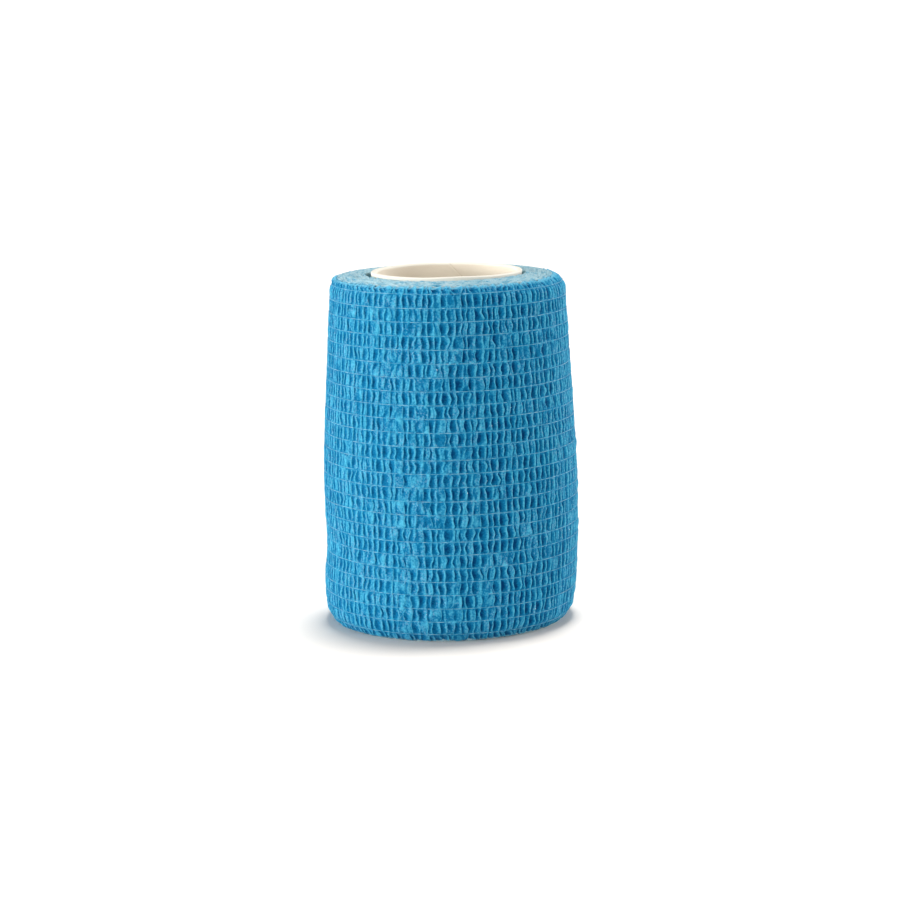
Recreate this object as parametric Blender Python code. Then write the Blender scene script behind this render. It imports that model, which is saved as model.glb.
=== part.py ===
# Cohesive bandage roll standing on its end: a crinkled elastic bandage wound on a paper core.
# Metres, +Z up. The origin is on the core's axis, at the middle of the flat base.

from math import cos, pi, radians, sin, tau

import bpy
import numpy as np

MM = 0.001

# The core: a spiral-wound paperboard tube, as long as the bandage is wide
CORE_LENGTH = 75.0 * MM
CORE_OUTER_RADIUS = 16.0 * MM
CORE_WALL = 1.4 * MM
CORE_OUTER_LIP = 0.3 * MM
CORE_INNER_LIP = 0.5 * MM
CORE_STEPS = 96
LIP_STEPS = 3

# The bandage: its last turn ends in a straight cut at the back
WIDTH = 74.4 * MM
LAYER = 0.65 * MM
TAIL_ANGLE = radians(115)
TAIL_CUT_SLANT = radians(0.9)
COLUMNS = 60
BORE_CLEARANCE = 0.3 * MM

# The elastic threads run round the roll and gather the cloth, which puffs out between them
THREADS = 26
THREAD_PITCH = 2.83 * MM
LOWEST_THREAD = 1.86 * MM
THREAD_GROOVE = 0.3 * MM
PUFF_SHARES = (0.28, 0.72)

# The roll's outline, in mm: its radius on the left (-X) and on the right (+X) at each height.
# Below and above the threads these rows are also the rows of the solid.
OUTLINE = [
    # height, left, right
    (0.0, 24.7, 22.9),
    (0.5, 25.8, 24.0),
    (1.9, 26.8, 25.3),
    (4.7, 27.4, 26.1),
    (7.5, 27.6, 26.5),
    (10.0, 27.6, 26.7),
    (14.0, 27.2, 26.9),
    (18.0, 27.0, 27.1),
    (24.0, 27.2, 27.1),
    (30.0, 27.3, 27.1),
    (36.0, 27.2, 26.9),
    (42.0, 26.9, 26.6),
    (50.0, 26.4, 26.2),
    (58.0, 25.9, 25.7),
    (66.0, 25.4, 25.3),
    (70.0, 25.1, 24.9),
    (72.6, 24.8, 24.3),
    (73.4, 24.3, 23.7),
    (73.9, 23.4, 22.8),
    (74.2, 22.2, 21.6),
    (74.35, 20.6, 20.0),
]

# The first turn has come away from the core in two places
LOOSE_PLACES = [
    # angle in degrees, half-width in degrees, depth in mm
    (181, 24, 0.75),
    (352, 26, 0.45),
]

BLUE = (0.045, 0.335, 0.590, 1.0)
PAPER = (0.860, 0.790, 0.680, 1.0)


def clear_scene():
    for thing in list(bpy.data.objects):
        bpy.data.objects.remove(thing)


def finish(name, colour, roughness):
    """A plain Principled material."""
    material = bpy.data.materials.new(name)
    material.use_nodes = True
    shader = material.node_tree.nodes["Principled BSDF"]
    shader.inputs["Base Color"].default_value = colour
    shader.inputs["Roughness"].default_value = roughness
    shader.inputs["Metallic"].default_value = 0.0
    return material


def place(name, mesh, material, sharp_angle):
    """Puts a mesh in the scene as a smooth-shaded object."""
    mesh.materials.append(material)
    mesh.shade_smooth()
    mesh.set_sharp_from_angle(angle=sharp_angle)
    thing = bpy.data.objects.new(name, mesh)
    bpy.context.scene.collection.objects.link(thing)
    return thing


def outline_curve(column):
    """One side of the outline as a smooth function of height: a cubic through the table's rows."""
    heights = np.array([row[0] for row in OUTLINE]) * MM
    radii = np.array([row[column] for row in OUTLINE]) * MM
    slopes = np.gradient(radii, heights)

    def radius_at(height):
        i = int(np.clip(np.searchsorted(heights, height) - 1, 0, len(heights) - 2))
        span = heights[i + 1] - heights[i]
        t = (height - heights[i]) / span
        return (
            radii[i] * (1 + 2 * t) * (1 - t) ** 2
            + slopes[i] * span * t * (1 - t) ** 2
            + radii[i + 1] * t * t * (3 - 2 * t)
            + slopes[i + 1] * span * t * t * (t - 1)
        )

    return radius_at


def side_rows():
    """(height, depth below the outline) of each row up the side: a groove at each thread, a puff between."""
    threads = [LOWEST_THREAD + k * THREAD_PITCH for k in range(THREADS)]
    edges = [row[0] * MM for row in OUTLINE]
    rows = [(z, 0.0) for z in edges if z < threads[0] - THREAD_GROOVE]
    for k, z in enumerate(threads):
        rows.append((z, THREAD_GROOVE))
        if k < THREADS - 1:
            rows += [(z + share * THREAD_PITCH, 0.0) for share in PUFF_SHARES]
    rows += [(z, 0.0) for z in edges if z > threads[-1] + THREAD_GROOVE]
    return rows


def bore_radius(angle):
    """The roll's inner radius: close on the core, but for the loose places."""
    radius = CORE_OUTER_RADIUS + BORE_CLEARANCE
    for middle, half_width, depth in LOOSE_PLACES:
        away = (angle - radians(middle) + pi) % tau - pi
        share = min(abs(away) / radians(half_width), 1.0)
        radius += depth * MM * cos(share * pi / 2) ** 2
    return radius


def wound_bandage():
    """The wound roll as one solid: its outer face is a spiral that grows by one layer and ends in a step."""
    left, right = outline_curve(1), outline_curve(2)
    rows = side_rows()
    points = []
    for j in range(COLUMNS + 1):
        turned = j / COLUMNS
        angle = TAIL_ANGLE + TAIL_CUT_SLANT + (tau - TAIL_CUT_SLANT) * turned
        across, along = cos(angle), sin(angle)
        growth = LAYER * (turned - 0.5)
        for z, groove in rows:
            middle = (right(z) + left(z)) / 2
            lean = (right(z) - left(z)) / 2
            radius = middle + lean * across + growth - groove
            points.append((radius * across, radius * along, z))
        bore = bore_radius(angle)
        points.append((bore * across, bore * along, WIDTH))
        points.append((bore * across, bore * along, 0.0))
    ring = len(rows) + 2
    faces = []
    for j in range(COLUMNS + 1):
        here, there = j * ring, (j + 1) % (COLUMNS + 1) * ring
        for i in range(ring):
            after = (i + 1) % ring
            faces.append((here + i, there + i, there + after, here + after))
    mesh = bpy.data.meshes.new("wound_bandage")
    mesh.from_pydata(points, [], faces)
    return place("wound_bandage", mesh, finish("crinkled nonwoven", BLUE, 0.85), radians(50))


def lip(centre, radius, start):
    """A quarter-round lip as points (x, z), turning clockwise from the start angle."""
    turns = [start - pi / 2 * i / LIP_STEPS for i in range(LIP_STEPS + 1)]
    return [(centre[0] + radius * cos(a), centre[1] + radius * sin(a)) for a in turns]


def paper_core():
    """The paper tube: its wall's outline, turned once round the axis."""
    outer, inner = CORE_OUTER_RADIUS, CORE_OUTER_RADIUS - CORE_WALL
    big, small, top = CORE_INNER_LIP, CORE_OUTER_LIP, CORE_LENGTH
    outline = [
        *lip((outer - small, small), small, 0),
        *lip((inner + big, big), big, -pi / 2),
        *lip((inner + big, top - big), big, pi),
        *lip((outer - small, top - small), small, pi / 2),
    ]
    points = [(x, 0.0, z) for x, z in outline]
    edges = [(i, (i + 1) % len(points)) for i in range(len(points))]
    mesh = bpy.data.meshes.new("paper_core")
    mesh.from_pydata(points, edges, [])
    core = place("paper_core", mesh, finish("paperboard", PAPER, 0.8), radians(50))
    turn = core.modifiers.new("turn", "SCREW")
    turn.steps = CORE_STEPS
    turn.render_steps = CORE_STEPS
    turn.use_merge_vertices = True
    turn.merge_threshold = 0.00001
    return core


clear_scene()
wound_bandage()
paper_core()
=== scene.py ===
# %% [markdown]
# # A cohesive bandage roll
#
# A cohesive bandage is a strip of thin nonwoven cloth with fine elastic threads running along it. The
# threads are stretched when the cloth is bonded to them. When they let go they gather the cloth into
# hundreds of small upright pleats. The strip is wound on a short paper tube, and each layer sticks a
# little to the next. This script dresses the plain solids of such a roll: the last turn with its pleats,
# the threads in it, the edges of the turns beneath, and the tube.

# %% The frame
from math import cos, pi, radians, sin, tau

import bpy
import numpy as np
from mathutils import Matrix, Vector


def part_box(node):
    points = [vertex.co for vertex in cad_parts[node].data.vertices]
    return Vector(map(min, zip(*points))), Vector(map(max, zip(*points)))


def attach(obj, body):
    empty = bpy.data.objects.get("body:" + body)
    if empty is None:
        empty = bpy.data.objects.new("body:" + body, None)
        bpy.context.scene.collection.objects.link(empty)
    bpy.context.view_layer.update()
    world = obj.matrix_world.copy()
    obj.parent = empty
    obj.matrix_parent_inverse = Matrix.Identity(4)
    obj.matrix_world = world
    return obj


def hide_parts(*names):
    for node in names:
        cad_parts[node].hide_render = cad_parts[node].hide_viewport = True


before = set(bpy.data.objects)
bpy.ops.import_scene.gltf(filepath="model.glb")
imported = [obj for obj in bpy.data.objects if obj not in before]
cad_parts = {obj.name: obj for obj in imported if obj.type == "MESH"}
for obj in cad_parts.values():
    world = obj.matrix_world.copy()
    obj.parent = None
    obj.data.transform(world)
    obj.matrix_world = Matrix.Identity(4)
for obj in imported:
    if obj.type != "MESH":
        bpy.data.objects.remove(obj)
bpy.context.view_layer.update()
MM = 0.001

# %% [markdown]
# ## Small helpers
#
# A crinkled surface needs random numbers that change smoothly. Plain random values on a grid, blurred
# along each axis, give them, and the blur's span says how far one bump reaches. Meshes come from whole
# arrays. One function adds a shader node with its settings and links, and four short ones name what the
# nodes are mostly used for here: noise, a stretched range, a sum or product, and a blend of two colours.


# %% Helpers
def soft_random(rng, shape, spans):
    """Normal random values on a grid, blurred by a bell curve of the given span in steps along each axis
    (the grid wraps round), then rescaled to a spread of 1."""
    field = np.fft.fftn(rng.normal(size=shape))
    for axis, span in enumerate(spans):
        wave = np.fft.fftfreq(shape[axis])
        bell = np.exp(-2 * (pi * wave * span) ** 2)
        field *= bell.reshape([-1 if i == axis else 1 for i in range(len(shape))])
    field = np.fft.ifftn(field).real
    return field / field.std()


def smoothstep(x):
    """0 below 0, 1 above 1, and an S curve 3x^2 - 2x^3 between."""
    x = np.clip(x, 0, 1)
    return x * x * (3 - 2 * x)


def ring_faces(columns, ring):
    """Quads of a grid whose rings of points close on themselves, column after column."""
    start = np.arange(columns - 1)[:, None] * ring
    here = start + np.arange(ring)
    above = start + (np.arange(ring) + 1) % ring
    return np.stack([here, here + ring, above + ring, above], axis=-1).reshape(-1, 4)


def make_piece(name, points, faces, material, values=None, cloth=None):
    """A smooth mesh object from arrays, riding on the roll. values are numbers per point for the material,
    and cloth is each point's place on the flat cloth in metres, which becomes the UV map."""
    mesh = bpy.data.meshes.new(name)
    mesh.from_pydata(points, [], faces)
    for label, value in (values or {}).items():
        layer = mesh.attributes.new(label, "FLOAT", "POINT")
        layer.data.foreach_set("value", np.asarray(value, np.float32).ravel())
    if cloth is not None:
        corner = np.empty(len(mesh.loops), np.int32)
        mesh.loops.foreach_get("vertex_index", corner)
        mesh.uv_layers.new(name="cloth").data.foreach_set("uv", cloth[corner].astype(np.float32).ravel())
    mesh.shade_smooth()
    mesh.materials.append(material)
    piece = bpy.data.objects.new(name, mesh)
    bpy.context.scene.collection.objects.link(piece)
    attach(piece, "root")
    print(name, len(points), "points,", sum(len(f) - 2 for f in faces), "triangles")
    return piece


def add(tree, kind, inputs=None, **settings):
    """Adds one shader node, with its settings, and each input as a value or as a link from a socket."""
    node = tree.nodes.new(kind)
    for name, value in settings.items():
        setattr(node, name, value)
    for name, value in (inputs or {}).items():
        if isinstance(value, bpy.types.NodeSocket):
            tree.links.new(value, node.inputs[name])
        else:
            node.inputs[name].default_value = value
    return node


def noise(tree, place, size, detail, roughness=0.5):
    """Noise between 0 and 1, with bumps of about that size in metres."""
    inputs = {"Vector": place, "Scale": 1 / size, "Detail": detail, "Roughness": roughness}
    return add(tree, "ShaderNodeTexNoise", inputs).outputs["Fac"]


def stretch(tree, value, low, high, bottom=0.0, top=1.0):
    """The value moved so that low becomes bottom and high becomes top, and clipped outside them."""
    inputs = {"Value": value, "From Min": low, "From Max": high, "To Min": bottom, "To Max": top}
    return add(tree, "ShaderNodeMapRange", inputs).outputs[0]


def reckon(tree, operation, *values):
    """A sum or product of sockets and numbers."""
    return add(tree, "ShaderNodeMath", dict(enumerate(values)), operation=operation).outputs[0]


def blend(tree, share, first, second):
    """The first colour where the share is 0, the second where it is 1."""
    inputs = {"Factor": share, 6: first, 7: second}
    return add(tree, "ShaderNodeMix", inputs, data_type="RGBA").outputs[2]


def linear(code):
    """An sRGB hex colour as linear red, green, blue and alpha."""
    parts = np.array([int(code[i : i + 2], 16) for i in (1, 3, 5)]) / 255
    parts = np.where(parts <= 0.04045, parts / 12.92, ((parts + 0.055) / 1.055) ** 2.4)
    return (*parts.tolist(), 1.0)


def new_material(name):
    """A material with an empty node tree but for its output."""
    material = bpy.data.materials.new(name)
    material.use_nodes = True
    tree = material.node_tree
    tree.nodes.clear()
    return material, tree, add(tree, "ShaderNodeOutputMaterial")


# %% [markdown]
# ## The roll's outline
#
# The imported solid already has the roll's true shape: a barrel with rounded shoulders, a little fuller on
# one side low down, that grows by one layer in its last turn. So the outline is read from the solid. At
# each height its points lie on a circle, and sums over them give that circle's mean radius and its lean.

# %% The outline, from the solid
LAYER = 0.65 * MM
TAIL_ANGLE = radians(115)
THREADS = 26
THREAD_PITCH = 2.83 * MM
LOWEST_THREAD = 1.86 * MM
thread_heights = LOWEST_THREAD + THREAD_PITCH * np.arange(THREADS)
_, roll_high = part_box("wound_bandage")
_, core_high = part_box("paper_core")
WIDTH = roll_high.z
CORE_RADIUS = core_high.x
CORE_TOP = core_high.z
INSIDE_ALL_ROWS = 19 * MM
CUT_SHARE = 0.004
GROOVE_HALF = 0.05 * MM


def growth(turned):
    """How far the spiral stands out, in metres, after that share of the last turn."""
    return LAYER * (turned - 0.5)


def read_outline(node):
    """(heights, mean radii, leans) of the solid's rows between the threads. Left after the growth is
    mean + lean * cos(angle), so the sums of 1, cos and cos squared over a row's points give both. The bore,
    the cut at the back and the grooves under the threads are left out."""
    points = np.array([v.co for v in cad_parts[node].data.vertices])
    points = np.unique(np.round(points / MM, 3), axis=0) * MM
    radius = np.hypot(points[:, 0], points[:, 1])
    angle = np.arctan2(points[:, 1], points[:, 0])
    turned = (angle - TAIL_ANGLE) % tau / tau
    from_thread = np.abs(points[:, 2, None] - thread_heights).min(axis=1)
    kept = (radius > INSIDE_ALL_ROWS) & (turned > CUT_SHARE) & (turned < 1 - CUT_SHARE)
    kept &= from_thread > GROOVE_HALF
    heights, row = np.unique(np.round(points[kept, 2] / MM, 2), return_inverse=True)
    c, r = np.cos(angle[kept]), radius[kept] - growth(turned[kept])
    n, sum_c, sum_cc = np.bincount(row), np.bincount(row, c), np.bincount(row, c * c)
    sum_r, sum_rc = np.bincount(row, r), np.bincount(row, r * c)
    lean = (n * sum_rc - sum_c * sum_r) / (n * sum_cc - sum_c**2)
    return heights * MM, (sum_r - lean * sum_c) / n, lean


row_heights, row_means, row_leans = read_outline("wound_bandage")
print("outline rows", len(row_heights), "widest, mm", round(row_means.max() / MM, 2))

# %% [markdown]
# The top isn't evenly tight. On the left its shoulder is sharper than the solid's, and on the right it
# flares a little, so two small swellings are added to what the solid says.

# %% The outline as a function
LEFT_SHOULDER = 0.60 * MM
SHOULDER_FROM = 72.8 * MM
SHOULDER_RISE = 1.1 * MM
RIGHT_FLARE = 0.35 * MM
FLARE_HEIGHT = 71.3 * MM
FLARE_REACH = 2.2 * MM


def skin_radius(z, angle):
    """The outline's radius at a height and an angle, before the growth of the spiral: mean + lean cos(angle),
    plus the left shoulder, an S curve upward, and the right flare, a bell curve of height."""
    mean = np.interp(z, row_heights, row_means)
    lean = np.interp(z, row_heights, row_leans)
    side = np.cos(angle)
    left = LEFT_SHOULDER * smoothstep((z - SHOULDER_FROM) / SHOULDER_RISE) * np.clip(-side, 0, 1)
    right = RIGHT_FLARE * np.exp(-(((z - FLARE_HEIGHT) / FLARE_REACH) ** 2)) * np.clip(side, 0, 1)
    return mean + lean * side + left + right


print("radius at mid height, mm", round(skin_radius(WIDTH / 2, 0.0) / MM, 2))

# %% [markdown]
# ## The cloth's finish
#
# The cloth is a dyed polypropylene nonwoven, thinly coated so that it clings to itself. Its fibres lie in
# all directions, so it has no weave, only a fine matted grain. Its colour also carries painted light: a
# pit is painted a deep, saturated blue as painted shade, and a crest pale as a painted highlight. A number
# on each point, 0 in a pit and 1 on a crest, drives that. Small greyish flecks are places where the
# coating has whitened.


# %% The nonwoven's material
FRAYED_FIBRES = "#74BEDA"
FIBRE_SHEEN = "#BFE4F2"


def crinkled_nonwoven(name, pit, middle, crest, fleck):
    """Matte fibre mat: painted shade in the pits and a painted highlight on the crests, set by the number on
    each point, mottled, with flecks, frayed paler at the cut edge, and a matted fibre bump."""
    material, tree, output = new_material(name)
    place = add(tree, "ShaderNodeTexCoord").outputs["Object"]
    # The pleat's painted light: 0, painted shade in a pit, up to 1, a painted highlight on a crest
    depth = add(tree, "ShaderNodeAttribute", attribute_name="painted_light").outputs["Fac"]
    frayed = add(tree, "ShaderNodeAttribute", attribute_name="frayed").outputs["Fac"]

    # Fibres are about 0.02 mm across. The grain is drawn at 0.42 mm so that it shows at arm's length
    grain = noise(tree, place, 0.42 * MM, 3.0, 0.7)
    mottle = noise(tree, place, 2.6 * MM, 3.0)
    wobble = reckon(tree, "MULTIPLY_ADD", reckon(tree, "ADD", grain, -0.5), 1.1, depth)
    low = blend(tree, stretch(tree, wobble, 0.0, 0.55), linear(pit), linear(middle))
    high = blend(tree, stretch(tree, wobble, 0.55, 1.0), low, linear(crest))

    # Whitened coating: small irregular flecks in loose groups, only on what stands up
    spots = stretch(tree, noise(tree, place, 0.36 * MM, 2.0, 0.6), 0.49, 0.62)
    groups = stretch(tree, mottle, 0.43, 0.60)
    raised = stretch(tree, wobble, 0.40, 0.70)
    share = reckon(tree, "MULTIPLY", reckon(tree, "MULTIPLY", spots, groups), raised)
    worn = blend(tree, reckon(tree, "MULTIPLY", share, 0.50), high, linear(fleck))
    colour = blend(tree, frayed, worn, linear(FRAYED_FIBRES))

    bump = add(tree, "ShaderNodeBump", {"Height": grain, "Strength": 0.9, "Distance": 0.16 * MM})
    shader = add(tree, "ShaderNodeBsdfPrincipled", {
        "Base Color": colour, "Normal": bump.outputs[0], "Roughness": 0.82, "IOR": 1.49,
        "Specular IOR Level": 0.03, "Sheen Weight": 0.10, "Sheen Roughness": 0.35,
        "Sheen Tint": linear(FIBRE_SHEEN)})
    tree.links.new(shader.outputs[0], output.inputs["Surface"])
    return material


# Navy deep in a pit is painted shade, and sky blue on a crest a painted highlight. The cut edges show the
# white core of the fibres, and their darkest tone is painted shade down between the turns
cloth_finish = crinkled_nonwoven("crinkled nonwoven with painted shade and highlight", "#003563", "#0B6E9D", "#4AACCD", "#74A3C4")
edge_finish = crinkled_nonwoven("cut edge of nonwoven", "#3084A8", "#68A4BD", "#9DC1CC", "#C6D3D8")

# %% [markdown]
# ## The last turn
#
# The pleats stand upright and run round the roll, about 116 to the turn. Each thread pinches them, so
# between two threads a pleat is a short ridge that starts and ends at a thread, and bows to one side or
# the other. Two neighbours that bow apart leave an oval pit, and two that bow together touch like an X.
#
# A height map on a regular grid would need millions of faces for this. Here the grid's own columns follow
# the crests instead: seven columns to a pleat, bent with it, and seven rows to the space between two
# threads, set closest beside the thread. So every crest is a clean line of edges. Winding has laid the
# pleats over a little: from its crest each one falls steeply to the right, into the pit, and the pit's
# floor then climbs slowly to the next crest.
#
# PHASES are the columns' places across a gap, FALL says how far down the cloth is there, SHADE how much
# painted shade it has, and INNER_FOLD what a small fold in the pit takes off both. CELL_STEPS are the rows'
# places between two threads. The last turn starts three pleats early, so that its start lies hidden under
# its end.

# %% Pleat layout
PLEATS = 116
UNDER_TAIL = 3
PHASES = np.array([0.0, 0.06, 0.15, 0.32, 0.52, 0.73, 0.89])
FALL = np.array([0.0, 0.62, 1.0, 0.98, 0.80, 0.50, 0.12])
# How much painted shade each column of a gap gets
SHADE = np.array([0.0, 0.60, 1.0, 0.92, 0.68, 0.46, 0.12])
INNER_FOLD = np.array([0.0, 0.0, -0.05, -0.30, -0.60, -0.10, 0.10])
CELL_STEPS = np.array([0.0, 0.07, 0.20, 0.40, 0.60, 0.80, 0.93])
FOOT_HEIGHTS = np.array([0.0, 0.3, 0.65, 1.0, 1.35, 1.68]) * MM
BRIM_HEIGHTS = np.array([72.80, 73.02, 73.22, 73.40, 73.56, 73.68, 73.78, 73.86, 73.93]) * MM

crests = PLEATS + UNDER_TAIL + 1
cells = THREADS + 1
row_z = [*FOOT_HEIGHTS]
row_cell = [0] * len(FOOT_HEIGHTS)
row_share = [*(FOOT_HEIGHTS / LOWEST_THREAD)]
for k in range(THREADS - 1):
    row_z += [*(thread_heights[k] + CELL_STEPS * THREAD_PITCH)]
    row_cell += [k + 1] * len(CELL_STEPS)
    row_share += [*CELL_STEPS]
brim_share = (BRIM_HEIGHTS - thread_heights[-1]) / (BRIM_HEIGHTS[-1] - thread_heights[-1])
row_z = np.array([*row_z, thread_heights[-1], *BRIM_HEIGHTS])
row_cell = np.array([*row_cell, *[cells - 1] * (1 + len(BRIM_HEIGHTS))])
row_share = np.array([*row_share, 0.0, *brim_share])
thread_rows = len(FOOT_HEIGHTS) + len(CELL_STEPS) * np.arange(THREADS)
in_foot = row_cell == 0
in_brim = row_cell == cells - 1
print("last turn:", crests, "crests,", len(row_z), "rows")

# %% [markdown]
# Where the crests run: each has its own place, drifts slowly from thread to thread, and bows or sways
# inside each cell. Neighbours bow in opposite ways more often than not.

# %% Crest lines
OWN, DRIFT, JUMP = 0.05, 0.08, 0.06
BOW, SWAY, WIGGLE = 0.11, 0.07, 0.05
LEAN_UP, LEAN_DOWN, LEAN_SPREAD = -0.30, 0.15, 0.35
LEAST_GAP = 0.45
rng = np.random.default_rng(7)


def crest_lines():
    """The place of each crest at each row, counted in pleats: its number, plus its own offset, plus a drift
    and a jump at each thread, plus bow sin(pi t) + sway sin(2 pi t) + wiggle sin(3 pi t) between threads."""
    own = OWN * rng.normal(size=(crests, 1))
    drift = DRIFT * soft_random(rng, (crests, THREADS), (0.3, 1.4))
    jump = JUMP * rng.normal(size=(crests, THREADS))
    at_thread = own + drift + jump
    bow = rng.normal(size=(crests, cells))
    bow = BOW * (bow - 0.5 * np.roll(bow, 1, axis=0) - 0.4 * np.roll(bow, -1, axis=0))
    sway = SWAY * rng.normal(size=(crests, cells))
    wiggle = WIGGLE * rng.normal(size=(crests, cells))
    lower = at_thread[:, np.clip(row_cell - 1, 0, THREADS - 1)]
    upper = at_thread[:, np.clip(row_cell, 0, THREADS - 1)]
    t = row_share
    lines = lower + (upper - lower) * smoothstep(t)
    lines += bow[:, row_cell] * np.sin(pi * t) + sway[:, row_cell] * np.sin(tau * t)
    lines += wiggle[:, row_cell] * np.sin(3 * pi * t)
    # Outside the first and last thread nothing holds the pleats, and they lean over
    lean_up = LEAN_UP + LEAN_SPREAD * rng.normal(size=(crests, 1))
    lean_down = LEAN_DOWN + LEAN_SPREAD * rng.normal(size=(crests, 1))
    lines += np.where(in_brim, lean_up * t, 0) + np.where(in_foot, lean_down * (1 - t), 0)
    lines += np.arange(crests)[:, None]
    # Where two crests come too near, each gives way by half
    for _ in range(3):
        short = np.clip(LEAST_GAP - np.diff(lines, axis=0), 0, None) / 2
        lines[1:] += short
        lines[:-1] -= short
    lines[-1] = crests - 1 + 0.02 * rng.normal(size=len(t))
    return lines


crest_place = crest_lines()
gaps = np.diff(crest_place, axis=0)
print("pleat widths, share of the mean: %.2f to %.2f" % (gaps.min(), gaps.max()))

# %% [markdown]
# How deep the pits are: most are deep, some are so shallow that two ridges read as one flat, puckered
# band. A pit keeps its full depth until close to a thread, where the cloth comes up to the thread's level.

# %% Heights
PUFF = 0.06 * MM
THREAD_LEVEL = -0.05 * MM
DEEP = (0.24 * MM, 0.42 * MM)
SHALLOW = (0.05 * MM, 0.15 * MM)
SHALLOW_SHARE = 0.12
WORN_ANGLE, WORN_REACH, WORN_WEIGHT = radians(-108), radians(32), 1.1
# Slacker cloth on the front left and tighter cloth on the front right make the pits shallower and deeper; the
# same numbers paint the pits' shade lighter on the left and darker on the right
SLACK_ANGLE, SLACK_REACH, SLACK_PULL_AND_LIGHTER_SHADE = radians(-152), radians(42), 0.26
TIGHT_ANGLE, TIGHT_REACH, TIGHT_PULL_AND_DARKER_SHADE = radians(-48), radians(38), 0.20


def near(angle, middle, reach):
    """A bell curve round the roll: 1 at the middle angle, and 1/e at the reach from it."""
    away = (angle - middle + pi) % tau - pi
    return np.exp(-((away / reach) ** 2))


def pit_depths():
    """(depth in metres, whether it is a shallow one) of the pit in each gap and cell, and how hard the cloth
    is pulled in each gap. Shallow pits lie in groups, most of them where the roll is worn. Below 1, the
    pulling makes pits shallower, with lighter painted shade, and above 1 deeper, with darker painted shade."""
    kind = soft_random(rng, (crests - 1, cells), (0.35, 0.7))
    middle = TAIL_ANGLE + tau * (np.arange(crests - 1) + 0.5 - UNDER_TAIL) / PLEATS
    kind += WORN_WEIGHT * near(middle, WORN_ANGLE, WORN_REACH)[:, None]
    # How hard the cloth is pulled, which sets the pits' depth and also scales their painted shade
    pull_and_side_shade = 1 - SLACK_PULL_AND_LIGHTER_SHADE * near(middle, SLACK_ANGLE, SLACK_REACH)
    pull_and_side_shade += TIGHT_PULL_AND_DARKER_SHADE * near(middle, TIGHT_ANGLE, TIGHT_REACH)
    shallow = kind > np.quantile(kind, 1 - SHALLOW_SHARE)
    deep = rng.uniform(*DEEP, size=shallow.shape)
    depth = np.where(shallow, rng.uniform(*SHALLOW, size=shallow.shape), deep) * pull_and_side_shade[:, None]
    return depth, shallow, pull_and_side_shade


def row_hold():
    """How free of the threads each row is, from 0 at a thread to 1 between two: 1 - |2t - 1|^3. The foot and
    the brim have a thread on one side only, and there the pleats stay open toward the cut edge."""
    t = row_share
    hold = 1 - np.abs(2 * t - 1) ** 3
    hold = np.where(in_brim, 1 - (1 - t) ** 3 - 0.4 * t**4, hold)
    return np.where(in_foot, 1 - t**3 - 0.8 * (1 - t) ** 4, hold)


depth, shallow, pull_and_side_shade = pit_depths()
hold = row_hold()
print("pit depths, mm: %.2f to %.2f" % (depth.min() / MM, depth.max() / MM))

# %% [markdown]
# With these, each grid point gets two numbers. One is how far it stands off the outline, in metres:
#
#     level + hold * (ridge - depth * fall)
#
# The level goes from the thread's to the puff's, ridge is the crests' own height, and fall is FALL, less
# where a small fold stands in the pit. The other is its painted light, from 0, painted shade in a pit, to 1,
# a painted highlight on a crest:
#
#     1 - dim * hold - THREAD_DIM * (1 - hold)
#
# Here dim is the painted shade that SHADE gives, and THREAD_DIM the painted shade at a thread. A fine
# pucker comes on top of both, and is strongest on the flat bands.

# %% The height map
CREST_SPREAD = 0.04 * MM
FOLD_SHARE = 0.25
NARROW_GAP, LEAST_DEPTH = 0.75, 0.45
# Painted shade: SHALLOW_DIM and LEAST_DIM for shallow pits, THREAD_DIM for the cloth at a thread
SHALLOW_DIM, LEAST_DIM = 0.6, 0.30
THREAD_DIM = 0.34
PUCKER, PUCKER_SHADE, FLAT_PUCKER = 0.030 * MM, 0.05, 1.4


def pleat_heights():
    """(stand-off, painted light) of each grid point, by the two formulas above."""
    crest = CREST_SPREAD * rng.normal(size=(crests, cells))
    narrow = np.clip(gaps / NARROW_GAP, LEAST_DEPTH, 1)
    fold = rng.uniform(0.6, 1.0, size=shallow.shape) * (rng.uniform(size=shallow.shape) < FOLD_SHARE)
    folded = fold[:, None, row_cell] * INNER_FOLD[None, :, None]
    drop = (depth[:, row_cell] * narrow)[:, None, :] * (FALL[None, :, None] + folded)
    dimmer = np.where(shallow, SHALLOW_DIM, rng.uniform(0.8, 1.0, size=shallow.shape))
    dim = (SHADE[None, :, None] + folded) * dimmer[:, None, row_cell]
    # The pits' painted shade grows with how hard the cloth is pulled: lighter on the left, darker on the
    # right
    dim = np.maximum(dim, LEAST_DIM * shallow[:, None, row_cell]) * pull_and_side_shade[:, None, None]
    ridge = crest[:-1, None, :] * (1 - PHASES)[None, :, None] + crest[1:, None, :] * PHASES[None, :, None]
    level = THREAD_LEVEL + (PUFF - THREAD_LEVEL) * hold**0.5
    stand = (level + hold * (ridge[:, :, row_cell] - drop)).reshape(-1, len(hold))
    # Painted light: 1 less the painted shade of the pit and of the thread
    painted_light = (1 - dim * hold - THREAD_DIM * (1 - hold)).reshape(-1, len(hold))
    # The last column is a plain crest
    stand = np.concatenate([stand, level[None, :]])
    painted_light = np.concatenate([painted_light, (1 - THREAD_DIM * (1 - hold))[None, :]])
    flat = np.repeat(shallow[:, row_cell], len(PHASES), axis=0)
    flat = np.concatenate([flat, flat[-1:]])
    pucker = soft_random(rng, stand.shape, (0.8, 0.8)) * (1 + FLAT_PUCKER * flat)
    return stand + PUCKER * pucker, np.clip(painted_light + PUCKER_SHADE * pucker, 0, 1)


stand_off, painted_light = pleat_heights()
print("pleats stand from %.2f to %.2f mm" % (stand_off.min() / MM, stand_off.max() / MM))

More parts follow.
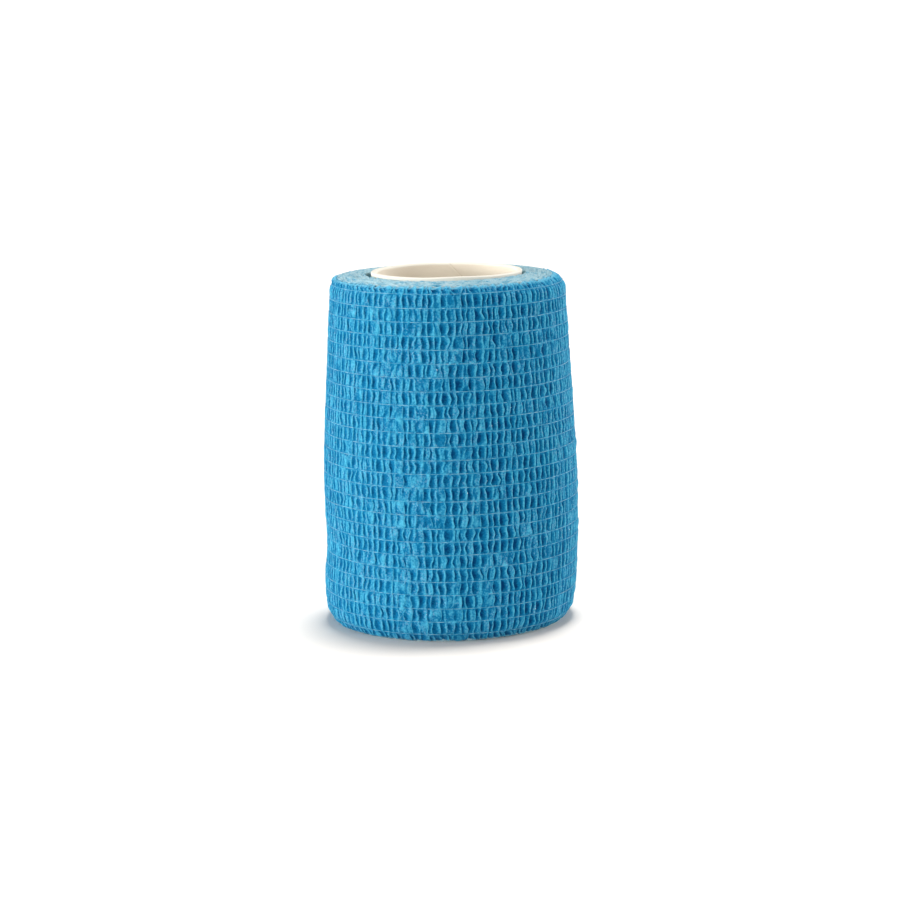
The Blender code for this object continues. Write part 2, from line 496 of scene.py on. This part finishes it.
# %% [markdown]
# Now the sheet itself. The grid is laid round the roll, each point is moved along the outline's normal by
# its height, and a second, plain layer of points under it gives the cloth its thickness. The strip is too
# big for one mesh of a reasonable size, so it is made as a lower and an upper half that meet under a thread.

# %% The grid round the roll
TOOTH = 0.24 * MM
ROW_WANDER = 0.05 * MM
GROUND_GAP = 0.02 * MM


def grid_turns():
    """The share of the last turn at each column and row: columns step by PHASES across each gap."""
    place = crest_place[:-1, None, :] + gaps[:, None, :] * PHASES[None, :, None]
    place = np.concatenate([place.reshape(-1, len(row_z)), crest_place[-1:]])
    return (place - UNDER_TAIL) / PLEATS


column_turned = grid_turns()
column_angle = TAIL_ANGLE + tau * column_turned
height_wander = ROW_WANDER * soft_random(rng, column_turned.shape, (40, 9))
slope = np.gradient(np.interp(row_z, row_heights, row_means), row_z)
normal_up = -slope / np.hypot(1, slope)
normal_out = 1 / np.hypot(1, slope)


def sheet_points(depth):
    """Points of the sheet at a distance from the outline, as (columns, rows, 3). The rows wander up and down
    a little, but not the two cut edges. Toward the top edge t goes from 0 to 1, and crests end above the
    mean height and pits below it, by TOOTH * (painted light - 1/2) * t^3."""
    tooth = TOOTH * (painted_light - 0.5) * np.where(in_brim, row_share**3, 0)
    free = np.where(in_foot, row_share, np.where(in_brim, 1 - row_share, 1))
    z = row_z + tooth + height_wander * free
    radius = skin_radius(z, column_angle) + growth(column_turned) + depth * normal_out
    z = np.maximum(z + depth * normal_up, GROUND_GAP)
    return np.stack([radius * np.cos(column_angle), radius * np.sin(column_angle), z], axis=-1)


print("grid:", *column_turned.shape, "columns and rows")

# %% [markdown]
# Each half is one closed mesh. Its rings of points go up the pleated face and down the plain face behind
# it, which needs a point only at each thread, and a row of caps closes each end. The cloth is thinner
# toward its cut edges, and its fibres are frayed there. Its place on the flat strip, in metres along and
# across, goes into the UV map.

# %% The pleated sheet
SHEET, EDGE_SHEET, THIN_REACH = 0.72 * MM, 0.34 * MM, 4 * MM
FRAY_REACH, FRAY_LIMIT, FRAY_SPREAD = 0.35 * MM, 0.4 * MM, 0.25
PLAIN_PAINTED_LIGHT = 0.3
SPLIT_THREAD = 13
from_edge = np.minimum(row_z - row_z[0], row_z[-1] - row_z)


def half_of_sheet(name, first, last):
    """Rows first to last of the last turn as a piece. Frayed is 1 - height / reach near a cut edge, with a
    random part."""
    rows = np.arange(first, last + 1)
    plain = np.array([r for r in rows if r in thread_rows or in_foot[r] or in_brim[r]])[::-1]
    thick = EDGE_SHEET + (SHEET - EDGE_SHEET) * smoothstep(from_edge / THIN_REACH)
    outer = sheet_points(stand_off)[:, rows]
    inner = sheet_points(np.broadcast_to(-thick, stand_off.shape))[:, plain]
    grid = np.concatenate([outer, inner], axis=1)
    columns, ring = grid.shape[:2]
    faces = ring_faces(columns, ring).tolist()
    backs = np.arange(len(plain))[::-1] + len(rows)
    for a, b, below, above in zip(plain[::-1][:-1], plain[::-1][1:], backs[:-1], backs[1:]):
        cap = [*range(a - first, b - first + 1), above, below]
        faces.append(cap)
        faces.append([(columns - 1) * ring + i for i in cap[::-1]])
    along = column_turned[:, np.concatenate([rows, plain])] * tau * row_means.max()
    across = np.broadcast_to(np.concatenate([row_z[rows], row_z[plain]]), along.shape)
    flat = np.stack([along, across], axis=-1).reshape(-1, 2)
    # Painted light of the pleated face, and a plain painted value on the face behind it
    shade = np.concatenate([painted_light[:, rows], np.full((columns, len(plain)), PLAIN_PAINTED_LIGHT)], axis=1)
    uneven = FRAY_SPREAD * rng.normal(size=(columns, len(rows)))
    frayed = np.clip(1 - from_edge[rows] / FRAY_REACH + uneven, 0, 1) * (from_edge[rows] < FRAY_LIMIT)
    frayed = np.concatenate([frayed, np.zeros((columns, len(plain)))], axis=1)
    values = {"painted_light": shade, "frayed": frayed}
    return make_piece(name, grid.reshape(-1, 3), faces, cloth_finish, values, flat)


split_row = thread_rows[SPLIT_THREAD]
lower_half = half_of_sheet("last_turn_lower", 0, split_row)
upper_half = half_of_sheet("last_turn_upper", split_row, len(row_z) - 1)
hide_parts("wound_bandage")
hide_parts("wound_bandage")

# %% [markdown]
# ## The turns beneath
#
# Under the last turn lie about fifteen more. Only their cut edges show, at the top and the bottom: a
# spiral of thin crinkled layers, pressed together. They are made as what they are, one long ribbon, but
# its mesh has points only near its two edges, because nothing between them shows.
#
# The turns lie between the tube, from which the first one has come away in two places, and the last turn,
# whose shoulder they follow.

# %% Inner and outer limits
BORE_GAP = 0.15 * MM
LOOSE_PLACES = [
    # angle in degrees, half-width in degrees, depth in mm
    (175, 27, 1.20),
    (352, 26, 0.45),
]
SHOULDER_TABLE = np.linspace(70 * MM, WIDTH, 60)


def bore_radius(angle):
    """Where the first turn lies: close on the tube, but for the places where it has come away."""
    radius = np.full(np.shape(angle), CORE_RADIUS + BORE_GAP)
    for middle, half_width, depth in LOOSE_PLACES:
        away = (angle - radians(middle) + pi) % tau - pi
        share = np.minimum(np.abs(away) / radians(half_width), 1)
        radius += depth * MM * np.cos(share * pi / 2) ** 2
    return radius


def shoulder_height(radius, angle):
    """The height near the top where the outline has that radius at that angle, found between two rows of a
    table of heights."""
    heights = SHOULDER_TABLE
    table = skin_radius(heights[:, None], angle)
    above = np.clip((table > radius).sum(axis=0), 1, len(heights) - 1)
    column = np.arange(len(angle))
    wide, thin = table[above - 1, column], table[above, column]
    share = np.clip((wide - radius) / (wide - thin), 0, 1)
    return heights[above - 1] + share * (heights[above] - heights[above - 1])


print("room for the turns beneath, mm", round((row_means.max() - bore_radius(0.0)) / MM, 2))

# %% [markdown]
# First the spiral that the ribbon follows: where it lies all along, how it is crinkled, and how ragged its
# two cut edges are. The crinkle is a wave with one pleat's length, whose phase and height wander.

# %% The spiral
INNER_TURNS = 15
RIBBON_PLEAT = 1.45 * MM
RIBBON_STEPS = 5
OUTER_TURNS_FINER = 0.92
PHASE_WANDER = 0.16
WAVE_CHANGE = 0.35
RAGGED_FINE, RAGGED_LONG, RAGGED_FOOT = 0.11, 0.06, 0.07
RAGGED_LIMITS = (-0.30, 0.12)
# The outermost turn fills the wedge under the last one: share of that turn, how far it goes out in mm
FOLLOW = np.array([(0, 0), (0.03, 0), (0.95, 0.22), (1, 0)])
FOLLOW_FROM = 0.75

mean_radius = (CORE_RADIUS + row_means.max()) / 2
steps = int(INNER_TURNS * tau * mean_radius / RIBBON_PLEAT) * RIBBON_STEPS
wound = np.linspace(0, 1, steps) ** OUTER_TURNS_FINER
ribbon_angle = TAIL_ANGLE - tau * INNER_TURNS * (1 - wound)
phase = np.arange(steps) / RIBBON_STEPS + PHASE_WANDER * soft_random(rng, (steps,), (RIBBON_STEPS * 0.8,))
wave = np.sin(tau * phase) * (0.8 + WAVE_CHANGE * soft_random(rng, (steps,), (6,)))
ragged_top = RAGGED_FINE * soft_random(rng, (steps,), (1.2,))
ragged_top += RAGGED_LONG * soft_random(rng, (steps,), (30,))
ragged_top = np.clip(ragged_top, *RAGGED_LIMITS)
ragged_foot = np.abs(RAGGED_FOOT * soft_random(rng, (steps,), (1.2,)))
ribbon_bore = bore_radius(ribbon_angle)
follow = np.interp((ribbon_angle - TAIL_ANGLE) % tau / tau, FOLLOW[:, 0], FOLLOW[:, 1]) * MM
follow *= smoothstep((wound - FOLLOW_FROM) / (1 - FOLLOW_FROM))
print("ribbon:", steps, "steps in", INNER_TURNS, "turns")

# %% [markdown]
# The ribbon's cross section has six points at the top and six at the bottom, and each is carried along the
# spiral. Between the two edges its faces are simply long.

# %% The wound ribbon
HALF_LAYER, WAVE = 0.42, 0.20
# How far from the cut edge the outline is read, and how far inside it the outermost turn stays
BRIM_REACH, BRIM_INSET = 0.42 * MM, 0.17 * MM
BODY_REACH, BODY_INSET = 1.6 * MM, 1.0 * MM
CORE_SIDE_LIFT, LIFT_REACH = 0.06 * MM, 4 * MM
EDGE_ROWS = [
    # side of the ribbon (1 outer, -1 inner), depth below its cut edge in mm
    (1, 3.0),
    (1, 0.5),
    (0.55, 0.08),
    (-0.55, 0.08),
    (-1, 0.5),
    (-1, 3.0),
]
# Painted light across the ribbon: full at the cut edge, painted shade down in the gaps between the turns
EDGE_SHADE = np.array([0.40, 0.7, 1.0, 1.0, 0.7, 0.40] * 2)
SHADE_GRAIN, SHADE_PATCH = 0.10, 0.20


def ribbon_line(side, below, edge):
    """One point of the cross section carried along the spiral, by its side and depth, at the top (edge 1) or
    the foot (edge -1). The radius is bore + pitch / 2 + (outer - bore - pitch) * wound, plus HALF_LAYER and
    WAVE of a pitch for the side and the crinkle. The height is the cut edge's, less the shoulder's fall."""
    z = WIDTH if edge > 0 else 0.0
    at_brim = edge > 0 and below < 1
    reach, inset = (BRIM_REACH, BRIM_INSET) if at_brim else (BODY_REACH, BODY_INSET)
    outer = skin_radius(np.full(steps, z - edge * reach), ribbon_angle) - inset
    outer += follow * (edge > 0)
    pitch = (outer - ribbon_bore) / INNER_TURNS
    radius = ribbon_bore + pitch * 0.5 + (outer - ribbon_bore - pitch) * wound
    radius = radius + side * pitch * HALF_LAYER + wave * pitch * WAVE
    fold = WIDTH - shoulder_height(radius, ribbon_angle) if edge > 0 else 0.0
    ragged = ragged_top if edge > 0 else ragged_foot
    near_core = smoothstep(1 - (radius - CORE_RADIUS) / LIFT_REACH) * (edge > 0)
    height = z - edge * (below * MM + fold) + ragged * MM * (below < 1) + CORE_SIDE_LIFT * near_core
    return np.stack([radius * np.cos(ribbon_angle), radius * np.sin(ribbon_angle), height], axis=-1)


def wound_ribbon():
    """The inner turns as one ribbon, its cross section closed and both its ends capped."""
    top = [ribbon_line(side, below, 1) for side, below in EDGE_ROWS]
    foot = [ribbon_line(side, below, -1) for side, below in EDGE_ROWS]
    grid = np.stack([*top, *foot[::-1]], axis=1)
    ring = grid.shape[1]
    faces = ring_faces(steps, ring)[:, ::-1].tolist()
    faces.append([*range(ring)])
    faces.append([(steps - 1) * ring + i for i in reversed(range(ring))])
    patch = soft_random(rng, (steps,), (2.2,))[:, None]
    # The ribbon's painted shade in the gaps, with random grain and patches of tone on top
    values = EDGE_SHADE + SHADE_GRAIN * rng.normal(size=(steps, ring)) + SHADE_PATCH * patch
    return make_piece("inner_turns", grid.reshape(-1, 3), faces, edge_finish, {"painted_light": values})


inner_turns = wound_ribbon()
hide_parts("wound_bandage")

# %% [markdown]
# ## The elastic threads
#
# Each thread is a fine pale strand that lies in the cloth at the bottom of its groove. The coating covers
# it here and there, so it comes and goes along its length.


# %% The rubber's finish
def rubber_finish(name, colour, shade):
    """Fine covered rubber: pale, smooth and slightly glossy, a little darker where coating covers it."""
    material, tree, output = new_material(name)
    place = add(tree, "ShaderNodeTexCoord").outputs["Object"]
    patch = noise(tree, place, 1.1 * MM, 3.0)
    tone = blend(tree, stretch(tree, patch, 0.46, 0.70), linear(shade), linear(colour))
    bump = add(tree, "ShaderNodeBump", {"Height": patch, "Strength": 0.3, "Distance": 0.05 * MM})
    shader = add(tree, "ShaderNodeBsdfPrincipled", {
        "Base Color": tone, "Normal": bump.outputs[0], "Roughness": 0.6, "IOR": 1.52,
        "Specular IOR Level": 0.3})
    tree.links.new(shader.outputs[0], output.inputs["Surface"])
    return material


thread_finish = rubber_finish("covered elastic thread", "#8CC2D4", "#3A8FB4")
# Dried coating and lint are paler, and as smooth
lint_finish = rubber_finish("white lint", "#E8F0F4", "#B9D3DF")

# %% [markdown]
# The grid has a row of points along each groove already, so a thread is a thin tube carried along that row.

# %% Threads
THREAD_RADIUS = 0.058 * MM
THREAD_SIDES = 5


def thread_tubes():
    """All threads as tubes in one mesh. Each follows its groove's line of grid points, at every second
    column. It is lifted by 0.04 mm, so that about half of it stands proud, and by as much again at random."""
    every = np.arange(0, column_turned.shape[0], 2)
    rise_fall = soft_random(rng, (len(every), THREADS), (2.5, 0.3))
    lift = THREAD_LEVEL + (0.040 + 0.040 * rise_fall) * MM
    line = column_turned[every][:, thread_rows]
    angle = TAIL_ANGLE + tau * line
    z = thread_heights + height_wander[every][:, thread_rows]
    radius = skin_radius(z, angle) + growth(line) + lift
    turn = np.arange(THREAD_SIDES) * tau / THREAD_SIDES
    r = radius[..., None] + THREAD_RADIUS * np.cos(turn)
    h = np.broadcast_to(z[..., None], r.shape) + THREAD_RADIUS * np.sin(turn)
    a = np.broadcast_to(angle[..., None], r.shape)
    grid = np.stack([r * np.cos(a), r * np.sin(a), h], axis=-1).transpose(1, 0, 2, 3)
    one = ring_faces(len(every), THREAD_SIDES)
    size = len(every) * THREAD_SIDES
    faces = (one + size * np.arange(THREADS)[:, None, None]).reshape(-1, 4).tolist()
    for k in range(THREADS):
        faces.append([k * size + i for i in range(THREAD_SIDES)])
        faces.append([(k + 1) * size - 1 - i for i in range(THREAD_SIDES)])
    return make_piece("elastic_threads", grid.reshape(-1, 3), faces, thread_finish)


thread_tubes()

# %% [markdown]
# ## Lint
#
# A few specks of white lint and dried coating cling to the crests. Each is a small stretched octahedron,
# turned at random and half sunk in the cloth.

# %% Specks
SPECKS = 46
LARGEST_IN_MM = np.array([0.17, 0.10, 0.08])


def specks():
    """One mesh of octahedra at randomly chosen crest points in the middle of their cells."""
    octahedron = np.array([(1, 0, 0), (-1, 0, 0), (0, 1, 0), (0, -1, 0), (0, 0, 1), (0, 0, -1)])
    sides = [(0, 2, 4), (2, 1, 4), (1, 3, 4), (3, 0, 4), (2, 0, 5), (1, 2, 5), (3, 1, 5), (0, 3, 5)]
    column = rng.integers(UNDER_TAIL + 2, crests - 2, SPECKS) * len(PHASES)
    middle = rng.choice(np.flatnonzero((row_share > 0.3) & (row_share < 0.7)), SPECKS)
    centre = sheet_points(stand_off)[column, middle]
    size = rng.uniform(0.5, 1.0, (SPECKS, 1, 1)) * LARGEST_IN_MM * MM
    turn, _ = np.linalg.qr(rng.normal(size=(SPECKS, 3, 3)))
    turn = turn * np.sign(np.linalg.det(turn))[:, None, None]
    points = centre[:, None, :] + (octahedron * size) @ turn
    faces = (np.array(sides) + 6 * np.arange(SPECKS)[:, None, None]).reshape(-1, 3)
    return make_piece("lint_specks", points.reshape(-1, 3), faces.tolist(), lint_finish)


specks()

# %% [markdown]
# ## The paper tube
#
# The tube is wound from strips of board on a mandrel and cut to length, so its cut rims are slightly
# rounded and fibrous, and inside it a faint seam climbs where one strip meets the next.


# %% The board's finish
def paperboard(name, inside, rim, seam):
    """White-lined board: cream inside, a greyer white on the rim, faintly fibrous, darker along its seam. The
    inside's tone is painted lighter against the shade in the tube, and the rim's darker against the strong
    light from above.
    """
    material, tree, output = new_material(name)
    place = add(tree, "ShaderNodeTexCoord").outputs["Object"]
    # The rim's share, where the board's tone is painted darker against the light from above
    pale = add(tree, "ShaderNodeAttribute", attribute_name="rim").outputs["Fac"]
    line = add(tree, "ShaderNodeAttribute", attribute_name="seam").outputs["Fac"]
    fibre = noise(tree, place, 0.6 * MM, 6.0, 0.65)
    tint = stretch(tree, noise(tree, place, 6 * MM, 2.0), 0.0, 1.0, 0.93, 1.05)
    lined = blend(tree, line, blend(tree, pale, linear(inside), linear(rim)), linear(seam))
    tone = add(tree, "ShaderNodeVectorMath", {0: lined, 1: tint}, operation="MULTIPLY").outputs[0]
    bump = add(tree, "ShaderNodeBump", {"Height": fibre, "Strength": 0.25, "Distance": 0.06 * MM})
    shader = add(tree, "ShaderNodeBsdfPrincipled", {
        "Base Color": tone, "Normal": bump.outputs[0], "Roughness": 0.78, "IOR": 1.5,
        "Specular IOR Level": 0.3})
    tree.links.new(shader.outputs[0], output.inputs["Surface"])
    return material


# The inside colour is painted lighter, against the shade in the tube, and the rim colour darker, against the
# strong light from above
board_finish = paperboard("white-lined paperboard", "#EFE7D6", "#E3DFD4", "#BCAD92")

# %% [markdown]
# The tube's shape is its wall's outline, with rounded lips, carried once round the axis.

# %% The tube
TUBE_WALL = 1.4 * MM
TUBE_COLUMNS = 192
INNER_LIP, OUTER_LIP = 0.5 * MM, 0.3 * MM
OUT_OF_ROUND = 0.08 * MM
RIM_WANDER, RIM_REACH = 0.05 * MM, 2 * MM
RIM_FROM, RIM_BLEND = 0.55 * MM, 0.4 * MM
SEAM_AT_RIM = radians(88)
SEAM_HALF_WIDTH = 0.10 * MM
SEAM_DEPTH = 0.08 * MM
SEAM_CLIMB = radians(45)
SEAM_SHADE = 0.45


def arc(x, z, radius, start, steps):
    """Points of a quarter circle, turning left from the start angle."""
    turn = radians(start) + np.linspace(0, pi / 2, steps)
    return [(x + radius * cos(a), z + radius * sin(a)) for a in turn]


def paper_tube():
    """The tube's wall outline, carried once round. Its radius gains OUT_OF_ROUND * cos(2 angle), and its rims
    are a little uneven. The columns climb as the board's strips do, by height / tan(SEAM_CLIMB), so that
    the seam inside, a fine groove, runs along one of them."""
    outer, inner = CORE_RADIUS, CORE_RADIUS - TUBE_WALL
    big, small = INNER_LIP, OUTER_LIP
    side = np.linspace(small, CORE_TOP - small, 24)[1:-1]
    wall = np.linspace(CORE_TOP - big, big, 24)[1:-1]
    profile = np.array([
        *arc(outer - small, small, small, -90, 5),
        *[(outer, z) for z in side],
        *arc(outer - small, CORE_TOP - small, small, 0, 5),
        *arc(inner + big, CORE_TOP - big, big, 90, 7),
        *[(inner, z) for z in wall],
        *arc(inner + big, big, big, 180, 7),
    ])
    beside = SEAM_HALF_WIDTH / inner
    start = SEAM_AT_RIM + np.array([-beside, 0.0, beside])
    angle = np.concatenate([start, SEAM_AT_RIM + np.arange(1, TUBE_COLUMNS) * tau / TUBE_COLUMNS])
    angle = np.sort(angle)
    columns, ring = len(angle), len(profile)
    at_seam = (angle == SEAM_AT_RIM)[:, None]
    inside = (profile[:, 0] < inner + 0.3 * big) & (profile[:, 1] < CORE_TOP - 0.3 * big)
    turn = angle[:, None] + (profile[:, 1] - CORE_TOP) / np.tan(SEAM_CLIMB) / inner
    near_top = smoothstep((profile[:, 1] - CORE_TOP + RIM_REACH) / RIM_REACH)
    radius = profile[:, 0] + OUT_OF_ROUND * np.cos(2 * turn + 0.7) + SEAM_DEPTH * at_seam * inside
    z = profile[:, 1] + RIM_WANDER * soft_random(rng, (columns,), (5,))[:, None] * near_top
    grid = np.stack([radius * np.cos(turn), radius * np.sin(turn), z], axis=-1)
    faces = ring_faces(columns + 1, ring) % (columns * ring)
    # The rim's tone, painted darker against the light from above, covers its top and the outside
    rim = smoothstep((profile[:, 1] - CORE_TOP + RIM_FROM) / RIM_BLEND)
    rim = np.maximum(rim, profile[:, 0] > inner + big)
    values = {"rim": np.broadcast_to(rim, (columns, ring)), "seam": at_seam * inside * SEAM_SHADE}
    return make_piece("paper_tube", grid.reshape(-1, 3), faces.tolist(), board_finish, values)


tube = paper_tube()
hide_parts("paper_core")

# %% [markdown]
# ## Floor, light and camera
#
# A white floor, so wide that it fills the view, and swept up far behind the roll.

# %% The floor
FLOOR_SIDE = 30.0
SWEEP_START = 6.0
SWEEP_RADIUS = 12.0


def studio_floor():
    """White background paper: flat under the roll, and far behind it swept up in an arc."""
    material, tree, output = new_material("matte white paper")
    shader = add(tree, "ShaderNodeBsdfPrincipled", {
        "Base Color": linear("#F9F4EE"), "Roughness": 0.9, "Specular IOR Level": 0.0})
    tree.links.new(shader.outputs[0], output.inputs["Surface"])
    mesh = bpy.data.meshes.new("floor")
    turn = np.linspace(0, pi / 4, 25)
    along = np.array([-FLOOR_SIDE, *(SWEEP_START + SWEEP_RADIUS * np.sin(turn))])
    height = np.array([0.0, *(SWEEP_RADIUS * (1 - np.cos(turn)))])
    across = np.array([-FLOOR_SIDE, FLOOR_SIDE])
    x, y = np.meshgrid(across, along)
    points = np.stack([x, y, np.broadcast_to(height[:, None], x.shape)], axis=-1).reshape(-1, 3)
    corner = 2 * np.arange(len(along) - 1)[:, None]
    mesh.from_pydata(points, [], (corner + np.array([0, 1, 3, 2])).tolist())
    mesh.shade_smooth()
    mesh.materials.append(material)
    floor = bpy.data.objects.new("floor", mesh)
    bpy.context.scene.collection.objects.link(floor)
    print("floor", len(points), "points")


studio_floor()

# %% [markdown]
# Most of the light comes from straight above and from low on the left, so the roll grows darker toward
# the right and ends in a brighter edge there. The low lamps light the roll and hardly the floor. A faint
# warm sky fills the shadows.


# %% Light
def lamp(name, azimuth, elevation, spread, strength):
    """A far soft lamp of a given apparent width, so that it lights the whole floor evenly. Azimuth 0 is over
    the camera, and 90 is on the right."""
    light = bpy.data.lights.new(name, "SUN")
    light.angle = radians(spread)
    light.energy = strength
    thing = bpy.data.objects.new(name, light)
    a, e = radians(azimuth), radians(elevation)
    toward = Vector((sin(a) * cos(e), -cos(a) * cos(e), sin(e)))
    thing.rotation_mode = "QUATERNION"
    thing.rotation_quaternion = (-toward).to_track_quat("-Z", "Y")
    bpy.context.scene.collection.objects.link(thing)
    print("lamp", name, strength)


def sky(colour, strength):
    """The same soft light from all round."""
    world = bpy.data.worlds.new("soft white room")
    world.use_nodes = True
    background = world.node_tree.nodes["Background"]
    background.inputs["Color"].default_value = linear(colour)
    background.inputs["Strength"].default_value = strength
    bpy.context.scene.world = world


sky("#FFF2E8", 0.29)
lamp("overhead", 155, 82, 13, 2.40)
lamp("key", -40, 11, 24, 1.1)
lamp("left side", -86, 0, 26, 5.2)
lamp("fill", 40, 11, 24, 0.85)
lamp("right edge", 118, 11, 24, 1.9)

# %% [markdown]
# The camera stands about 0.6 m away, a little above the roll's top, with a long lens. So near circles look
# only slightly larger than far ones, and the roll's own proportions show.

# %% The camera
LENS = 107.5
CAMERA_PLACE = (0.0, -0.5682, 0.1334)
CAMERA_DOWN = radians(9.70)
CAMERA_ROLL = radians(1.15)


def camera():
    """A long lens that looks down a little at the roll, rolled by about a degree."""
    data = bpy.data.cameras.new("camera")
    data.lens = LENS
    data.sensor_width = 36.0
    thing = bpy.data.objects.new("camera", data)
    tilt = Matrix.Rotation(pi / 2 - CAMERA_DOWN, 4, "X")
    roll = Matrix.Rotation(-CAMERA_ROLL, 4, "Z")
    thing.matrix_world = Matrix.Translation(CAMERA_PLACE) @ tilt @ roll
    bpy.context.scene.collection.objects.link(thing)
    bpy.context.scene.camera = thing


camera()
bpy.context.scene.view_settings.view_transform = "Standard"
print("camera, m:", CAMERA_PLACE, "lens, mm:", LENS)
